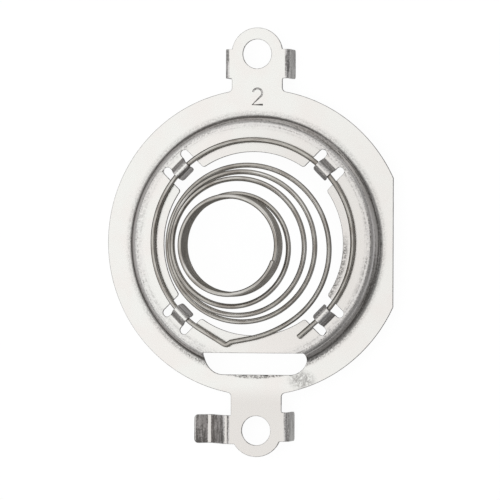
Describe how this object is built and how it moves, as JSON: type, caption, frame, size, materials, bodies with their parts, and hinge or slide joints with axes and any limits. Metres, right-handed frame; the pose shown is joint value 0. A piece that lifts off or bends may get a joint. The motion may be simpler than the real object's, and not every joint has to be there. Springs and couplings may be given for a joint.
{
  "type": "joystick spring",
  "caption": "Stamped spring retainer plate with a raised wire seat, screw tabs, bent ears and a contact finger, carrying a conical return spring held by bent clips.",
  "frame": {"origin": "centre between the two screw holes, on the underside of the flange, which seats on the housing", "axes": "+Z out of the flange towards the coil's closed turns, +Y from the tab with the finger to the other tab, +X towards the flange's straight cut"},
  "size_m": [0.0305, 0.0448, 0.015],
  "materials": {
    "sheet": "satin stainless sheet, streaked where it was drawn",
    "wire": "bright drawn spring wire"
  },
  "bodies": {
    "root": {"retainer_plate": "sheet", "coil_spring": "wire"}
  },
  "joints": []
}
